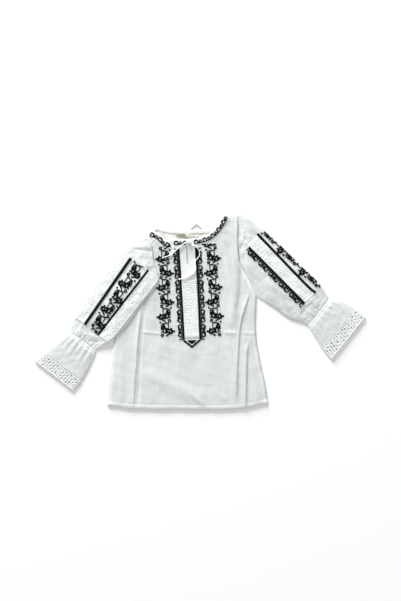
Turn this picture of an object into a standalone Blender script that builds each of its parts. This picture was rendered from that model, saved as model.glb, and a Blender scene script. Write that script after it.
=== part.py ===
"""A child's Romanian ie blouse, laid flat on a table with its front up.

The blouse lies on z = 0 with its neck towards +Y and its sleeves out to -X and +X. The origin is
below the middle of its bounding box. Every piece of cloth is a wall of its own: the back panel
lies on the table, the front panel lies on it, the sleeves and ruffles are flattened tubes, and the
left sleeve crosses over the body. Tables and sizes are in millimetres, and MM turns them into
metres when a mesh is made.
"""

import bmesh
import bpy
import numpy as np

MM = 0.001
WALL = 1.0  # every cloth wall
GAP = 0.3  # clearance between two pieces
BAND_WALL = 2.0  # the neck band is folded double
LIE_GAP = 0.6  # clearance under a piece whose mesh doesn't share its neighbour's points

BACK_TOP = WALL
FRONT_TOP = BACK_TOP + GAP + WALL
TUBE_TOP = 2 * WALL + GAP  # top of a sleeve that lies on the table
SEAM_SHIFT = 0.5  # the right sleeve beside the armhole, along x and along y
FOLD_INSET = 0.8  # how far the flat of a tube stops short of its folded edge

# ---- The body's outline. Columns: x, y. ------------------------------------------------------
SIDE_LEFT = [(-218.0, -219.0), (-214.0, -160.0), (-205.5, -90.0), (-197.0, -40.0), (-188.0, 26.0)]
ARMHOLE_LEFT = [(-188.0, 26.0), (-160.0, 52.0), (-134.0, 84.0), (-120.0, 120.0), (-120.8, 177.4)]
SIDE_RIGHT = [(160.5, -214.5), (151.5, -161.0), (138.5, -100.0), (130.5, -41.0), (132.5, 38.5)]
ARMHOLE_RIGHT = [(132.5, 38.5), (119.5, 69.0), (96.5, 109.0), (89.5, 150.0), (89.0, 228.6)]
HEM = [(-218.0, -219.0), (-150.0, -227.5), (-40.0, -228.9), (80.0, -228.2), (160.5, -214.5)]

# The line that the neck embroidery follows, from the left corner of the neck to the right one.
NECK_LINE = [
    (-118.5, 182.0),
    (-101.0, 174.4),
    (-87.0, 161.5),
    (-74.0, 156.5),
    (-60.0, 160.3),
    (-29.0, 161.0),
    (0.0, 165.0),
    (24.0, 173.6),
    (43.5, 190.4),
    (56.0, 209.5),
    (63.5, 224.7),
]
NECK_BELOW = 4.5  # neck band outside its line
NECK_ABOVE = 10.5  # neck band inside its line
SHOULDER_RIGHT = [(78.0, 226.0), (89.0, 228.6)]

# Top edge of the back of the neck, left to right.
BACK_NECK = [
    (-118.0, 184.0),
    (-110.5, 195.0),
    (-103.0, 201.5),
    (-92.0, 198.0),
    (-60.0, 193.0),
    (0.0, 193.5),
    (30.0, 196.5),
    (46.0, 205.0),
    (58.0, 219.0),
]
BACK_BAND_WIDTH = 9.0

# ---- The slit and what lies on the front -----------------------------------------------------
SLIT_TOP = (-30.6, 172.0)
SLIT_FOOT = (-29.4, 112.5)
SLIT_WIDTH = 1.2
FRONT_LACE = dict(start=(-28.0, 74.0), end=(-19.6, -61.0), width=34.0)

# ---- Sleeves. Columns: x, y; both edges run from the armhole to the wrist. --------------------
LEFT_SEAM = [(-97.5, 78.5), (-99.5, 92.0), (-109.3, 123.0), (-113.0, 158.0), (-122.5, 174.8)]
LEFT_INNER = [
    (-97.5, 78.5),
    (-108.0, 55.0),
    (-138.7, 19.7),
    (-167.0, -22.6),
    (-199.8, -57.8),
    (-244.4, -88.4),
]
LEFT_OUTER = [
    (-122.5, 174.8),
    (-155.0, 160.7),
    (-197.4, 118.4),
    (-239.7, 66.7),
    (-286.7, 1.0),
    (-303.9, -44.9),
]
RIGHT_LOWER = [(132.9, 38.9), (176.3, 10.3), (209.2, -13.2), (239.7, -23.7), (253.8, -30.8)]
RIGHT_UPPER = [
    (89.4, 229.0),
    (103.4, 226.0),
    (136.3, 205.4),
    (188.0, 160.7),
    (235.0, 113.7),
    (280.0, 70.0),
    (303.2, 32.7),
]

# ---- Ruffles, from the wrist to the lace hem. Columns: x, y. ----------------------------------
LEFT_RUFFLE = dict(
    low=[(-244.4, -88.4), (-252.0, -110.0), (-272.6, -151.8), (-296.1, -184.7)],
    high=[(-303.9, -44.9), (-329.0, -64.9), (-358.0, -90.5), (-387.9, -114.2)],
)
RIGHT_RUFFLE = dict(
    low=[(253.8, -30.8), (263.0, -45.0), (284.0, -80.0), (307.9, -111.0)],
    high=[(303.2, 32.7), (336.1, 24.4), (365.0, 8.5), (388.3, -10.8)],
)
CASING_LENGTH = 10.0
TRIM_LENGTH = 29.0

# Gathers of a ruffle. Columns: place across (0 to 1), height, spread across, reach along (0 to 1).
GATHERS = [
    (0.14, 1.8, 0.05, 0.75),
    (0.31, 2.6, 0.05, 0.60),
    (0.47, 1.6, 0.04, 0.45),
    (0.62, 2.8, 0.06, 0.80),
    (0.79, 2.0, 0.05, 0.55),
    (0.91, 1.6, 0.04, 0.70),
]

# ---- Largest folds. Columns: start x, y, end x, y, half width, height. ------------------------
FRONT_FOLDS = [
    (-142.0, -5.0, -155.0, -222.0, 8.0, 2.0),
    (84.0, 190.0, 76.0, -30.0, 11.0, 2.2),
    (108.0, 20.0, 87.0, -205.0, 10.0, 2.4),
    (112.0, -80.0, 107.0, -222.0, 7.0, 2.0),
    (-130.0, -146.0, 8.0, -204.0, 22.0, 1.6),
]
LEFT_FOLDS = [
    (-118.0, 143.0, -158.0, 147.0, 9.0, 2.4),
    (-112.0, 104.0, -140.0, 100.0, 8.0, 1.6),
    (-205.0, -40.0, -262.0, -58.0, 9.0, 1.6),
]
RIGHT_FOLDS = [
    (112.0, 218.0, 131.0, 178.0, 9.0, 2.4),
    (99.0, 190.0, 106.0, 140.0, 8.0, 1.8),
    (168.0, 84.0, 200.0, -2.0, 11.0, 2.4),
    (280.0, 12.0, 244.0, 2.0, 10.0, 1.6),
]

# ---- Lace bands of the sleeves: centre line from the shoulder to the wrist. ------------------
SLEEVE_LACE = {
    "sleeve_lace_left_outer": dict(start=(-183.0, 116.0), end=(-284.0, -22.0), width=20.0),
    "sleeve_lace_left_inner": dict(start=(-108.5, 78.0), end=(-232.0, -70.0), width=20.0),
    "sleeve_lace_right": dict(start=(124.0, 171.5), end=(256.0, 38.5), width=32.0),
}

# ---- Drawstring, hanger loop and label ------------------------------------------------------
CORD_RADIUS = 1.0
CORD_STEP = 4.5
KNOT = (-27.6, 166.0)
KNOT_SIZE = (4.6, 3.6, 2.6)
CORD_END_SIZE = (2.3, 2.3, 2.0)
# Columns: x, y, height of the centre line above the front panel.
CORD_LEFT = [
    (-32.6, 164.6, 2.9),
    (-38.0, 160.6, 2.4),
    (-46.5, 154.6, 1.9),
    (-55.5, 146.5, 1.7),
    (-64.5, 138.6, 1.7),
    (-74.5, 132.4, 1.7),
    (-85.0, 129.2, 1.7),
]
CORD_RIGHT = [
    (-22.6, 164.4, 2.9),
    (-16.0, 160.4, 2.4),
    (-8.4, 153.6, 1.9),
    (-2.2, 145.2, 1.7),
    (-0.6, 136.0, 1.7),
    (-4.6, 128.4, 1.7),
    (-10.2, 121.6, 1.7),
    (-10.6, 112.0, 1.7),
    (-9.6, 102.6, 1.7),
    (-14.4, 94.0, 1.7),
    (-24.0, 87.2, 1.7),
    (-34.6, 82.0, 1.7),
    (-46.2, 78.4, 1.7),
]
HANGER_RADIUS = 0.75
HANGER_LOOP = [(-21.6, 195.6), (-15.6, 201.6), (-9.6, 207.2), (-2.8, 202.4), (4.7, 195.8)]
LABEL = dict(centre=(-32.5, 180.0), size=(48.0, 8.6))

# ---- Colours, as linear values, and roughness ------------------------------------------------
COTTON = ("white cotton voile", (0.80, 0.83, 0.83), 0.9)
INSIDE = ("inside of the cotton", (0.76, 0.75, 0.68), 0.9)
LACE = ("white cotton lace", (0.84, 0.86, 0.86), 0.85)
TAPE = ("bleached cotton cord", (0.86, 0.86, 0.83), 0.85)
LABEL_CLOTH = ("woven label", (0.58, 0.55, 0.42), 0.8)


# ---- Curves and patches in the plane ---------------------------------------------------------
def along(points, fractions):
    """Points of a Catmull-Rom curve through the given points, at fractions of its length."""
    points = np.asarray(points, float)
    ends = [2 * points[0] - points[1]], [2 * points[-1] - points[-2]]
    p = np.concatenate([ends[0], points, ends[1]])
    t = np.linspace(0, 1, 40, endpoint=False)[:, None]
    spans = []
    for a, b, c, d in zip(p, p[1:], p[2:], p[3:]):
        cubic = 3 * b - a - 3 * c + d
        square = 2 * a - 5 * b + 4 * c - d
        spans.append(0.5 * (2 * b + (c - a) * t + square * t**2 + cubic * t**3))
    fine = np.concatenate([*spans, points[-1:]])
    run = np.concatenate([[0], np.cumsum(np.linalg.norm(np.diff(fine, axis=0), axis=1))])
    wanted = np.asarray(fractions) * run[-1]
    return np.stack([np.interp(wanted, run, column) for column in fine.T], axis=1)


def even(count):
    return np.linspace(0, 1, count)


def joined(first, steps, second, more):
    """Two curves that share an end as one edge, with its corner kept."""
    return np.concatenate([along(first, even(steps + 1)), along(second, even(more + 1))[1:]])


def shifted(line, distance):
    """A line of points moved sideways, to its left where distance is positive."""
    ahead = np.gradient(line, axis=0)
    ahead /= np.linalg.norm(ahead, axis=1)[:, None]
    return line + distance * np.stack([-ahead[:, 1], ahead[:, 0]], axis=1)


def coons(low, high, left, right):
    """A patch between four edges: rows run from low to high and columns from left to right.

    Each point is the mean of the two straight blends between facing edges, less the blend of the
    four corners."""
    u = even(len(low))[None, :, None]
    v = even(len(left))[:, None, None]
    up = (1 - v) * low[None] + v * high[None]
    over = (1 - u) * left[:, None] + u * right[:, None]
    corners = (1 - v) * ((1 - u) * low[0] + u * low[-1]) + v * ((1 - u) * high[0] + u * high[-1])
    return up + over - corners


def distance_outside(place, outline):
    """How far each place lies outside a closed outline, and 0 inside it."""
    shape = place.shape[:-1]
    place = place.reshape(-1, 1, 2)
    start = outline[None]
    side = np.roll(outline, -1, axis=0)[None] - start
    share = ((place - start) * side).sum(-1) / (side**2).sum(-1)
    nearest = start + np.clip(share, 0, 1)[..., None] * side
    away = np.linalg.norm(place - nearest, axis=-1).min(axis=1)
    rises = (start[..., 1] > place[..., 1]) != ((start + side)[..., 1] > place[..., 1])
    flat = np.where(side[..., 1] == 0, 1, side[..., 1])
    crossing = start[..., 0] + (place[..., 1] - start[..., 1]) / flat * side[..., 0]
    inside = (rises & (place[..., 0] < crossing)).sum(axis=1) % 2 == 1
    return np.where(inside, 0, away).reshape(shape)


def ridges(place, folds):
    """Height of soft straight folds: a bell across each one, and a sine from end to end."""
    height = np.zeros(place.shape[:-1])
    for x0, y0, x1, y1, half_width, rise in folds:
        start = np.array([x0, y0])
        run = np.array([x1, y1]) - start
        share = ((place - start) @ run) / (run @ run)
        away = np.linalg.norm(place - start - np.clip(share, 0, 1)[..., None] * run, axis=-1)
        bell = np.exp(-((away / half_width) ** 2))
        height += rise * bell * np.sin(np.pi * np.clip(0.15 + 0.7 * share, 0, 1))
    return height


# ---- Meshes ----------------------------------------------------------------------------------
def material(name, colour, roughness):
    found = bpy.data.materials.get(name)
    if found:
        return found
    made = bpy.data.materials.new(name)
    made.use_nodes = True
    shader = made.node_tree.nodes["Principled BSDF"]
    shader.inputs["Base Color"].default_value = (*colour, 1)
    shader.inputs["Roughness"].default_value = roughness
    shader.inputs["Metallic"].default_value = 0
    return made


def place_in_blouse(piece, finish):
    piece.data.materials.append(material(*finish))
    blouse.objects.link(piece)
    return piece


def cloth(name, points, finish, wall=WALL, ring=False):
    """A wall of cloth on a grid of points (rows, columns, 3), its thickness below its faces."""
    rows, columns = points.shape[:2]
    number = np.arange(rows * columns).reshape(rows, columns)
    if ring:
        number = np.concatenate([number, number[:, :1]], axis=1)
    corners = number[:-1, :-1], number[:-1, 1:], number[1:, 1:], number[1:, :-1]
    faces = np.stack([corner.ravel() for corner in corners], axis=1)
    mesh = bpy.data.meshes.new(name)
    mesh.from_pydata((points.reshape(-1, 3) * MM).tolist(), [], faces.tolist())
    if ring:
        shape = bmesh.new()
        shape.from_mesh(mesh)
        bmesh.ops.recalc_face_normals(shape, faces=shape.faces)
        shape.to_mesh(mesh)
        shape.free()
    piece = bpy.data.objects.new(name, mesh)
    thickness = piece.modifiers.new("wall", "SOLIDIFY")
    thickness.thickness = wall * MM
    thickness.offset = -1
    thickness.use_even_offset = True
    return place_in_blouse(piece, finish)


def with_height(plan, height):
    height = np.broadcast_to(height, plan.shape[:-1])
    return np.concatenate([plan, height[..., None]], axis=-1)


def tube(name, plan, low, high, finish, low_every=2):
    """A flattened tube: its lower layer keeps every low_every-th column of the plan.

    Each row runs along the lower layer, round the folded edge at half height, back along the upper
    layer and round the other folded edge."""
    across = plan[:, -1] - plan[:, 0]
    inset = FOLD_INSET * across / np.linalg.norm(across, axis=1)[:, None]
    flat = plan.copy()
    flat[:, 0] += inset
    flat[:, -1] -= inset
    under = with_height(flat, low)[:, ::low_every]
    over = with_height(flat, high)[:, ::-1]
    middle = (np.broadcast_to(low, plan.shape[:-1]) + np.broadcast_to(high, plan.shape[:-1])) / 2
    edges = with_height(plan, middle)
    ring = np.concatenate([under, edges[:, -1:], over, edges[:, :1]], axis=1)
    return cloth(name, ring, finish, ring=True)


def strip_plan(start, end, width, rows, columns=3):
    """A straight band: its rows run from start to end, evenly spaced."""
    start, end = np.array(start), np.array(end)
    run = end - start
    side = np.array([-run[1], run[0]]) / np.linalg.norm(run) * width / 2
    centre = start + even(rows)[:, None, None] * run
    return centre + np.linspace(1, -1, columns)[None, :, None] * side


def rod(name, points, radius, finish):
    """A round cord on a smooth curve through its route's points, with filled ends."""
    length = np.linalg.norm(np.diff(np.asarray(points, float), axis=0), axis=1).sum()
    route = along(points, even(round(length / CORD_STEP) + 1)) * MM
    curve = bpy.data.curves.new(name, "CURVE")
    curve.dimensions = "3D"
    curve.bevel_depth = radius * MM
    curve.bevel_resolution = 2
    curve.use_fill_caps = True
    spline = curve.splines.new("POLY")
    spline.points.add(len(route) - 1)
    for point, place in zip(spline.points, route):
        point.co = (*place, 1)
    return place_in_blouse(bpy.data.objects.new(name, curve), finish)


def bead(name, centre, half_size, finish, segments=12, rings=8):
    """A closed lump with three half sizes, for a knot."""
    mesh = bpy.data.meshes.new(name)
    shape = bmesh.new()
    bmesh.ops.create_uvsphere(shape, u_segments=segments, v_segments=rings, radius=MM)
    bmesh.ops.scale(shape, vec=half_size, verts=shape.verts)
    shape.to_mesh(mesh)
    shape.free()
    piece = bpy.data.objects.new(name, mesh)
    piece.location = [value * MM for value in centre]
    return place_in_blouse(piece, finish)


# ---- Body ------------------------------------------------------------------------------------
SIDE_STEPS, ARMHOLE_STEPS = 12, 10
NECK_COLUMNS, SHOULDER_COLUMNS = 16, 2


def body_edges():
    left = joined(SIDE_LEFT, SIDE_STEPS, ARMHOLE_LEFT, ARMHOLE_STEPS)
    right = joined(SIDE_RIGHT, SIDE_STEPS, ARMHOLE_RIGHT, ARMHOLE_STEPS)
    hem = along(HEM, even(NECK_COLUMNS + SHOULDER_COLUMNS + 1))
    return left, right, hem


def neck_points():
    return along(NECK_LINE, even(NECK_COLUMNS + 1))


def front_plan():
    left, right, hem = body_edges()
    neck = shifted(neck_points(), -NECK_BELOW - GAP)
    shoulder = along([neck[-1], *SHOULDER_RIGHT], even(SHOULDER_COLUMNS + 1))
    top = np.concatenate([neck, shoulder[1:]])
    left[-1] = top[0]
    return coons(hem, top, left, right)


def front_top(place):
    return FRONT_TOP + ridges(place, FRONT_FOLDS)


def build_body():
    plan = front_plan()
    front = cloth("front_panel", with_height(plan, front_top(plan)), COTTON)
    cut = front.modifiers.new("slit", "BOOLEAN")
    cut.operation = "DIFFERENCE"
    cut.object = slit_cutter()

    left, right, hem = body_edges()
    neck = shifted(along(BACK_NECK, even(NECK_COLUMNS + 1)), -BACK_BAND_WIDTH - GAP)
    shoulder = along([neck[-1], *SHOULDER_RIGHT], even(SHOULDER_COLUMNS + 1))
    top = np.concatenate([neck, shoulder[1:]])
    left[-1] = top[0]
    plan = coons(hem, top, left, right)
    cloth("back_panel", with_height(plan, BACK_TOP), INSIDE)


def slit_cutter():
    top, foot = np.array(SLIT_TOP), np.array(SLIT_FOOT)
    run = top - foot
    mesh = bpy.data.meshes.new("slit_cutter")
    shape = bmesh.new()
    bmesh.ops.create_cube(shape, size=1)
    size = (SLIT_WIDTH * MM, np.linalg.norm(run) * MM, 20 * MM)
    bmesh.ops.scale(shape, vec=size, verts=shape.verts)
    shape.to_mesh(mesh)
    shape.free()
    cutter = bpy.data.objects.new("slit_cutter", mesh)
    cutter.rotation_euler.z = np.arctan2(-run[0], run[1])
    cutter.location = (*((top + foot) / 2 * MM), 0)
    cutter.hide_render = True
    cutter.display_type = "WIRE"
    cutters.objects.link(cutter)
    return cutter


def build_neck():
    """The band beside the front panel's top edge, from its own points, and the one behind."""
    line = neck_points()
    edges = shifted(line, -NECK_BELOW), shifted(line, NECK_ABOVE)
    half_slit = SLIT_WIDTH / 2 + GAP
    left_end, right_end = SLIT_FOOT[0] - half_slit, SLIT_FOOT[0] + half_slit

    def stretch(edge, keep, end):
        """The edge's kept points, with one more where it meets the slit."""
        height = np.interp(end, edge[:, 0], edge[:, 1])
        kept = np.concatenate([edge[keep], [[end, height]]])
        return kept[np.argsort(kept[:, 0])]

    left, right = line[:, 0] < left_end - 4, line[:, 0] > right_end + 4
    halves = {
        "neck_band_front_left": [stretch(edge, left, left_end) for edge in edges],
        "neck_band_front_right": [stretch(edge, right, right_end) for edge in edges],
    }
    for name, (below, above) in halves.items():
        plan = np.stack([below, (below + above) / 2, above])
        cloth(name, with_height(plan, BACK_TOP + GAP + BAND_WALL), COTTON, wall=BAND_WALL)
    edge = along(BACK_NECK, even(NECK_COLUMNS + 1))
    plan = np.stack([shifted(edge, -BACK_BAND_WIDTH), shifted(edge, -BACK_BAND_WIDTH / 2), edge])
    cloth("neck_band_back", with_height(plan, BACK_TOP), INSIDE)


# ---- Sleeves and ruffles ---------------------------------------------------------------------
SLEEVE_STEPS, SLEEVE_COLUMNS = 15, ARMHOLE_STEPS
RUFFLE_COLUMNS = 14
FALL = 40.0  # how far the left sleeve takes to come down from the body to the table


def body_outline():
    plan = front_plan()
    return np.concatenate([plan[0], plan[1:, -1], plan[-1, -2::-1], plan[-2:0:-1, 0]])


def left_rest(place):
    """Underside of the left sleeve: just over the front panel, then down to the table."""
    away = distance_outside(place, body_outline())
    fall = np.clip((away - 2.0) / FALL, 0, 1)
    return (front_top(place) + LIE_GAP) * (1 - fall * fall * (3 - 2 * fall))


def on_table(place):
    return np.zeros(place.shape[:-1])


def sleeve_top(rest, folds):
    return lambda place: rest(place) + TUBE_TOP + ridges(place, folds)


def build_sleeve(name, seam, lower, upper, rest, top):
    across, down = even(SLEEVE_COLUMNS + 1), even(SLEEVE_STEPS + 1)
    wrist = along([lower[-1], upper[-1]], across)
    plan = coons(along(seam, across), wrist, along(lower, down), along(upper, down))
    tube(name, plan, rest(plan), top(plan), COTTON, low_every=1)


def gathers(u, v):
    """Height of a ruffle's gathers: bells across it that die out along it."""
    height = np.zeros(np.broadcast(u, v).shape)
    for centre, rise, spread, reach in GATHERS:
        bell = np.exp(-(((u - centre) / spread) ** 2))
        height = height + rise * bell * np.clip(1 - v / reach, 0, 1)
    return height


def build_wrist(side, low, high, rest):
    """The casing, ruffle and lace trim: three stretches of one flared tube."""
    length = np.linalg.norm(np.diff(np.array(low), axis=0), axis=1).sum()
    casing, trim = CASING_LENGTH / length, 1 - TRIM_LENGTH / length
    gap = GAP / length * 1.3
    stretches = {
        "cuff_casing": (gap, casing, 2, COTTON),
        "ruffle": (casing + gap, trim, 5, COTTON),
        "lace_trim": (trim + gap, 1.0, 3, LACE),
    }
    across = even(RUFFLE_COLUMNS + 1)
    for name, (start, end, rows, finish) in stretches.items():
        share = np.linspace(start, end, rows)
        inner, outer = along(low, share), along(high, share)
        plan = inner[:, None] + across[None, :, None] * (outer - inner)[:, None]
        lift = gathers(across[None, :], (share[:, None] - casing) / (1 - casing))
        bottom = rest(plan)
        tube(f"{name}_{side}", plan, bottom, bottom + TUBE_TOP + lift, finish)


def build_sleeves():
    left_top = sleeve_top(left_rest, LEFT_FOLDS)
    right_top = sleeve_top(on_table, RIGHT_FOLDS)
    seam = np.array(ARMHOLE_RIGHT) + SEAM_SHIFT
    build_sleeve("sleeve_left", LEFT_SEAM, LEFT_INNER, LEFT_OUTER, left_rest, left_top)
    build_sleeve("sleeve_right", seam, RIGHT_LOWER, RIGHT_UPPER, on_table, right_top)
    build_wrist("left", **LEFT_RUFFLE, rest=left_rest)
    build_wrist("right", **RIGHT_RUFFLE, rest=on_table)
    for name, band in SLEEVE_LACE.items():
        plan = strip_plan(**band, rows=13)
        top = left_top(plan) if "left" in name else right_top(plan)
        cloth(name, with_height(plan, top + LIE_GAP + WALL), LACE)


# ---- Small pieces ----------------------------------------------------------------------------
def on_front(points):
    """Points of a route, their third column raised from height above the front panel."""
    points = np.array(points, float)
    points[:, 2] += front_top(points[:, :2])
    return points


def build_front_lace():
    plan = strip_plan(**FRONT_LACE, rows=9)
    cloth("front_lace_band", with_height(plan, front_top(plan) + LIE_GAP + WALL), LACE)


def build_label():
    half = np.array(LABEL["size"]) / 2
    plan = np.stack(np.meshgrid([-half[0], half[0]], [-half[1], half[1]]), axis=-1)
    plan = plan + LABEL["centre"]
    cloth("neck_label", with_height(plan, BACK_TOP + GAP + WALL), LABEL_CLOTH)


def build_cords():
    for side, route in (("left", CORD_LEFT), ("right", CORD_RIGHT)):
        points = on_front(route)
        rod(f"drawstring_{side}", points, CORD_RADIUS, TAPE)
        ahead = points[-1] - points[-2]
        ahead *= (CORD_END_SIZE[0] + GAP) / np.linalg.norm(ahead)
        bead(f"drawstring_end_{side}", points[-1] + ahead + (0, 0, 0.6), CORD_END_SIZE, TAPE)
    knot_height = BACK_TOP + GAP + BAND_WALL + GAP + KNOT_SIZE[2]
    bead("drawstring_knot", (*KNOT, knot_height), KNOT_SIZE, TAPE)
    loop = [(x, y, HANGER_RADIUS) for x, y in HANGER_LOOP]
    rod("hanger_loop", loop, HANGER_RADIUS, TAPE)


def main():
    build_body()
    build_neck()
    build_sleeves()
    build_front_lace()
    build_label()
    build_cords()


for old in list(bpy.data.objects):
    bpy.data.objects.remove(old, do_unlink=True)
blouse = bpy.data.collections.new("romanian_ie_blouse")
cutters = bpy.data.collections.new("cutters")
bpy.context.scene.collection.children.link(blouse)
bpy.context.scene.collection.children.link(cutters)
main()
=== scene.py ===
"""A Romanian ie blouse laid flat, in a child's size: white voile, lace and black cross-stitch.

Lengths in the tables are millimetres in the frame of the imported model, and MM turns them into
metres when a mesh is made. Every piece of cloth is a height over the table: a plan of points in
x and y, and a function that gives each point its height.
"""

import bpy
import numpy as np
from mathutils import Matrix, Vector


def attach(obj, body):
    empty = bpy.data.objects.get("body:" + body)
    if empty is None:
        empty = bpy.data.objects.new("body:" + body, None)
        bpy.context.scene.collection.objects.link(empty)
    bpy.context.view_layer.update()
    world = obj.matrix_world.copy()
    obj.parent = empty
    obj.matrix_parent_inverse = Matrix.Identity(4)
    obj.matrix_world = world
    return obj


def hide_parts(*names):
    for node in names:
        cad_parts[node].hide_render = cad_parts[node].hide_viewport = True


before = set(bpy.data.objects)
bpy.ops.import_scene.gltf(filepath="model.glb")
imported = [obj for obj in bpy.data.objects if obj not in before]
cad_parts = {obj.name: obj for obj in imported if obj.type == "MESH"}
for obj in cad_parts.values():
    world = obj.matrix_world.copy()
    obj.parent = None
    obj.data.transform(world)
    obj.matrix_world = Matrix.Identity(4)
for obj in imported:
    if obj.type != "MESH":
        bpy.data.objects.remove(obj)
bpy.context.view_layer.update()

MM = 0.001
TAU = 2 * np.pi

# ---- Layers ----------------------------------------------------------------------------------
BACK_TOP = 0.9
FRONT_TOP = 3.0
SEAM_TOP = 2.3  # the front panel comes down to this beside its seams
SEAM_ROUND = 7.0
EDGE_FOOT = 1.1  # and rolls down to this at its sides and hem
EDGE_ROLL = 3.2
CLOTH_WALL = 0.45
BACK_WALL = 0.7
TUBE_HALF = 1.3  # height of a sleeve's folded edge over what it lies on
BAND_FOOT = 2.3
BAND_TOP = 3.3

# ---- The body's outline. Columns: x, y. ------------------------------------------------------
SIDE_LEFT = [(-218, -219), (-214, -160), (-205.5, -90), (-197, -40), (-188, 26)]
ARMHOLE_LEFT = [(-188, 26), (-160, 52), (-134, 84), (-120, 120), (-120.8, 177.4)]
SIDE_RIGHT = [(160.5, -214.5), (151.5, -161), (138.5, -100), (130.5, -41), (132.5, 38.5)]
ARMHOLE_RIGHT = [(132.5, 38.5), (119.5, 69), (96.5, 109), (89.5, 150), (89, 228.6)]
HEM = [(-218, -219), (-150, -227.5), (-40, -228.9), (80, -228.2), (160.5, -214.5)]
NECK_LINE = [
    (-118.5, 182),
    (-101, 174.4),
    (-87, 161.5),
    (-74, 156.5),
    (-60, 160.3),
    (-29, 161),
    (0, 165),
    (24, 173.6),
    (43.5, 190.4),
    (56, 209.5),
    (63.5, 224.7),
]
NECK_BELOW = 4.5
NECK_ABOVE = 10.5
SHOULDER_RIGHT = [(78, 226), (89, 228.6)]
BACK_NECK = [
    (-118, 184),
    (-110.5, 195),
    (-103, 201.5),
    (-92, 198),
    (-60, 193),
    (0, 193.5),
    (30, 196.5),
    (46, 205),
    (58, 219),
]
BACK_BAND_WIDTH = 9.0
HEM_WIDTH = 11.0
ALLOWANCE = (5, 9)  # where the side seam's turned-in edge shows through, from the side
SLIT_TOP = (-30.6, 166)
SLIT_FOOT = (-29.4, 112.5)
SLIT_HALF = 1.5
FACING_LINE = [(-30, 176), (-27, 110), (-25, 60)]
FACING_HALF = 17.0
FACING_FOOT = 68.0

# ---- Sleeves. Columns: x, y; both edges run from the armhole to the wrist. --------------------
LEFT_SEAM = [(-97.5, 78.5), (-99.5, 92), (-109.3, 123), (-113, 158), (-122.5, 174.8)]
LEFT_INNER = [
    (-97.5, 78.5),
    (-108, 55),
    (-138.7, 19.7),
    (-167, -22.6),
    (-199.8, -57.8),
    (-244.4, -88.4),
]
LEFT_OUTER = [
    (-122.5, 174.8),
    (-155, 160.7),
    (-197.4, 118.4),
    (-239.7, 66.7),
    (-286.7, 1),
    (-303.9, -44.9),
]
RIGHT_LOWER = [(132.9, 38.9), (176.3, 10.3), (209.2, -13.2), (239.7, -23.7), (253.8, -30.8)]
RIGHT_UPPER = [
    (89.4, 229),
    (103.4, 226),
    (136.3, 205.4),
    (188, 160.7),
    (235, 113.7),
    (280, 70),
    (303.2, 32.7),
]
SEAM_SHIFT = 0.3
LEFT_RUFFLE = dict(
    low=[(-244.4, -88.4), (-252, -110), (-272.6, -151.8), (-296.1, -184.7)],
    high=[(-303.9, -44.9), (-329, -64.9), (-358, -90.5), (-387.9, -114.2)],
)
RIGHT_RUFFLE = dict(
    low=[(253.8, -30.8), (263, -45), (284, -80), (307.9, -111)],
    high=[(303.2, 32.7), (336.1, 24.4), (365, 8.5), (388.3, -10.8)],
)
CASING_LENGTH = 10.0
TRIM_LENGTH = 29.0
UNDER_REACH = 4.5  # how far the lower layer of the wrist lace shows past the upper one
FALL = 40.0
LIE_GAP = 0.4

# ---- Creases. Columns: path, half width, height (negative is a trough). ------------------------
# A bell is the same on both sides. A row marked as a tuck rises sharply on its path's left and
# falls off slowly.
FRONT_CREASES = [
    ([(-137, 16), (-146, -65), (-149, -112), (-153, -159), (-156, -222)], 7, 1.5, "tuck"),
    ([(-128, 20), (-137, -60), (-141, -120), (-147, -224)], 3, -0.75),
    ([(91, 226), (87, 147), (84, 53), (75, -41)], 11, 1.61),
    ([(100, 190), (97, 140), (95, 60), (86, -10)], 5, -0.77),
    ([(117, 48), (97, -18), (92, -53), (89, -100), (87, -147), (86, -206)], 9, 1.77, "tuck"),
    ([(115, -70), (110, -93), (109, -135), (107, -229)], 9, 1.9, "tuck"),
    ([(-139, -45), (-117, -48), (-92, -50)], 3, 0.54),
    ([(-90, -50), (-10, -54), (56, -49)], 3, 0.31),
    ([(56, -46), (70, -48), (86, -49)], 3.5, 0.61),
    ([(100, -47), (116, -49), (131, -50)], 3, 0.41),
    ([(-136, -142), (-82, -166), (-35, -185), (14, -207)], 15, 1.05),
    ([(52, 182), (64, 120), (75, 53)], 7, 0.61),
    ([(59, -65), (73, -118), (85, -171)], 8, 0.61),
    ([(-24, -186), (-8, -202), (10, -220)], 5, 0.54),
    ([(28, -178), (46, -196), (66, -206)], 6, 0.33),
    ([(-190, -100), (-184, -150), (-186, -215)], 9, 0.54),
    ([(-60, -70), (-48, -120), (-40, -160)], 10, 0.41),
    ([(120, -120), (128, -160), (136, -215)], 8, 0.61),
    ([(60, 150), (52, 60), (50, -20)], 8, -0.34),
    ([(-108, 60), (-112, 0), (-104, -40)], 7, 0.41),
]
TUCK_STEEP = 1.3  # half width of a tuck's sharp side
# Where the layer below shows through, with painted shade along the folds and pleats: the same
# columns, with a strength for the height.
FRONT_SHADES = [
    ([(88, 224), (86, 147), (86, 53), (86, -20)], 11, 0.42),
    ([(86, 10), (88, -53), (87, -100), (86, -160), (86, -222)], 8, 0.4),
    ([(101, 140), (112, 96), (130, 44)], 5, 0.4),
    ([(112, -93), (109, -135), (108, -226)], 4, 0.4),
    ([(-138, -20), (-148, -112), (-153, -159), (-156, -222)], 3, 0.3),
    ([(-130, 12), (-122, 44), (-108, 74)], 8, 0.7),
]
BACK_SHADES = [
    ([(-107, 197), (-92, 184), (-78, 170)], 4.5, 0.4),
    ([(-70, 186), (-30, 183), (20, 186)], 4, 0.12),
    ([(-96, 176), (-84, 172), (-74, 166)], 5, 0.2),
]
SLEEVE_SHADES = [
    ([(163, 100), (184, 62), (209, -3)], 4.5, 0.5),
    ([(110, 216), (124, 200), (132, 176)], 5, 0.4),
    ([(-112, 76), (-152, 22), (-190, -34)], 6, 0.3),
]
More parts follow.
